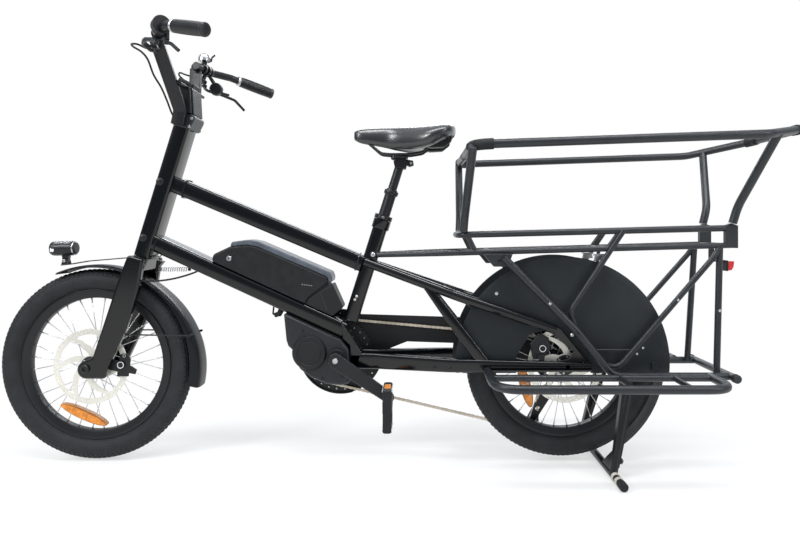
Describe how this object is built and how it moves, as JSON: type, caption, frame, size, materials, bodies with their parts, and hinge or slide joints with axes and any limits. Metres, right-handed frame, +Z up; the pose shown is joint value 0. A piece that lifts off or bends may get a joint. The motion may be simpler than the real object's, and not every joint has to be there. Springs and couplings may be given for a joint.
{
  "type": "longtail cargo bike",
  "caption": "Longtail cargo bicycle with a mid motor, a long rear rack with passenger rails, fat small wheels, swept handlebar and a two-leg centre stand.",
  "frame": {"origin": "middle of the bounding box at the ground", "axes": "+X to the rear, +Y to the rider's right, +Z up"},
  "size_m": [2.1398, 0.7026, 1.1606],
  "materials": {
    "frame_paint": "gloss dark navy black",
    "satin_metal": "satin charcoal",
    "black_plastic": "matte",
    "battery_shell": "matte blue grey",
    "tyre_rubber": "matte",
    "rubber": "matte",
    "steel": "brushed",
    "lens_red": "gloss",
    "saddle_skin": "satin"
  },
  "bodies": {
    "frame": {"main_frame": "frame_paint", "rack": "satin_metal", "passenger_rails": "satin_metal", "mudguard_rear": "black_plastic", "guard_left": "black_plastic", "guard_right": "black_plastic", "footrest_left": "satin_metal", "footrest_right": "satin_metal", "motor": "black_plastic", "battery": "battery_shell", "battery_dock": "black_plastic", "caliper_rear": "satin_metal", "tail_light": "lens_red", "seat_clamp": "satin_metal", "chain": "steel", "chain_case": "black_plastic", "derailleur": "satin_metal"},
    "steering": {"fork": "frame_paint", "stem": "frame_paint", "handlebar": "satin_metal", "display": "black_plastic", "grip_left": "rubber", "grip_right": "rubber", "mudguard_front": "black_plastic", "lamp_bracket": "satin_metal", "caliper_front": "satin_metal", "brake_clamp_left": "satin_metal", "brake_clamp_right": "satin_metal", "shifter": "satin_metal", "control_unit": "black_plastic", "bell": "satin_metal", "hose_left": "rubber", "hose_right": "rubber", "steering_spring": "steel", "fork_hose": "rubber"},
    "front_wheel": {"tyre_front": "tyre_rubber", "rim_front": "satin_metal", "hub_front": "steel", "rotor_front": "steel"},
    "rear_wheel": {"tyre_rear": "tyre_rubber", "rim_rear": "satin_metal", "hub_rear": "steel", "rotor_rear": "steel"},
    "cassette": {"cassette": "steel"},
    "crank": {"crank_left": "satin_metal", "crank_right": "satin_metal", "chainring": "satin_metal"},
    "pedal_left": {"pedal_left": "black_plastic"},
    "pedal_right": {"pedal_right": "black_plastic"},
    "stand": {"stand": "satin_metal"},
    "post_outer": {"seatpost_outer": "satin_metal"},
    "post_inner": {"seatpost_inner": "satin_metal", "saddle": "saddle_skin"},
    "brake_lever_left": {"brake_lever_left": "satin_metal"},
    "brake_lever_right": {"brake_lever_right": "satin_metal"},
    "thumb_lever": {"thumb_lever": "black_plastic"},
    "shift_lever": {"shift_lever": "black_plastic"},
    "bell_striker": {"bell_striker": "black_plastic"},
    "headlight": {"headlight": "satin_metal"},
    "battery_lock": {"battery_lock": "steel"}
  },
  "joints": [
    {"name": "steering", "type": "hinge", "parent": "frame", "child": "steering", "pos_m": [-0.67681, 0, 0.556], "axis": [0.2924, 0, 0.9563], "range_deg": [-45, 45], "stiffness_Nm_per_rad": 3, "deforming": ["steering_spring", "fork_hose"]},
    {"name": "front_wheel_spin", "type": "hinge", "parent": "steering", "child": "front_wheel", "pos_m": [-0.80792, 0, 0.26056], "axis": [0, 1, 0], "continuous": true},
    {"name": "rear_wheel_spin", "type": "hinge", "parent": "frame", "child": "rear_wheel", "pos_m": [0.46609, 0, 0.268], "axis": [0, 1, 0], "continuous": true},
    {"name": "crank_spin", "type": "hinge", "parent": "frame", "child": "crank", "pos_m": [-0.14491, 0, 0.2835], "axis": [0, 1, 0], "continuous": true},
    {"name": "cassette_spin", "type": "hinge", "parent": "frame", "child": "cassette", "pos_m": [0.46609, 0, 0.268], "axis": [0, 1, 0], "continuous": true},
    {"name": "pedal_left_spin", "type": "hinge", "parent": "crank", "child": "pedal_left", "pos_m": [-0.00481, -0.137, 0.18721], "axis": [0, 1, 0], "continuous": true},
    {"name": "pedal_right_spin", "type": "hinge", "parent": "crank", "child": "pedal_right", "pos_m": [-0.28502, 0.137, 0.37979], "axis": [0, 1, 0], "continuous": true},
    {"name": "stand_fold", "type": "hinge", "parent": "frame", "child": "stand", "pos_m": [0.61008, 0, 0.205], "axis": [0, -1, 0], "range_deg": [0, 95]},
    {"name": "post_height", "type": "slide", "parent": "frame", "child": "post_outer", "axis": [0.3007, 0, 0.9537], "range_m": [-0.055, 0.04]},
    {"name": "post_drop", "type": "slide", "parent": "post_outer", "child": "post_inner", "axis": [0.3007, 0, 0.9537], "range_m": [-0.055, 0]},
    {"name": "brake_left_pull", "type": "hinge", "parent": "steering", "child": "brake_lever_left", "pos_m": [-0.58061, -0.19779, 1.06964], "axis": [-0.9389, -0.1767, 0.2955], "range_deg": [0, 12], "stiffness_Nm_per_rad": 1, "springref_deg": -17.19},
    {"name": "brake_right_pull", "type": "hinge", "parent": "steering", "child": "brake_lever_right", "pos_m": [-0.58061, 0.19779, 1.06964], "axis": [0.9389, -0.1767, -0.2955], "range_deg": [0, 12], "stiffness_Nm_per_rad": 1, "springref_deg": -17.19},
    {"name": "thumb_press", "type": "hinge", "parent": "steering", "child": "thumb_lever", "pos_m": [-0.53292, -0.226, 1.08], "axis": [0, 0, 1], "range_deg": [0, 15], "stiffness_Nm_per_rad": 0.1, "springref_deg": -17.19},
    {"name": "shift_press", "type": "hinge", "parent": "steering", "child": "shift_lever", "pos_m": [-0.54892, 0.224, 1.063], "axis": [0, 1, 0], "range_deg": [0, 20], "stiffness_Nm_per_rad": 0.1, "springref_deg": -17.19},
    {"name": "bell_flick", "type": "hinge", "parent": "steering", "child": "bell_striker", "pos_m": [-0.54817, 0.16064, 1.13458], "axis": [0, 1, 0], "range_deg": [0, 20], "stiffness_Nm_per_rad": 0.01, "springref_deg": -17.19},
    {"name": "headlight_tilt", "type": "hinge", "parent": "steering", "child": "headlight", "pos_m": [-0.89692, 0, 0.543], "axis": [0, 1, 0], "range_deg": [-12, 12]},
    {"name": "lock_turn", "type": "hinge", "parent": "frame", "child": "battery_lock", "pos_m": [-0.43791, -0.038, 0.55112], "axis": [0, 1, 0], "range_deg": [0, 90]}
  ],
  "couplings": [
    {"joint": "cassette_spin", "follows": "crank_spin", "ratio": 1.7692}
  ]
}
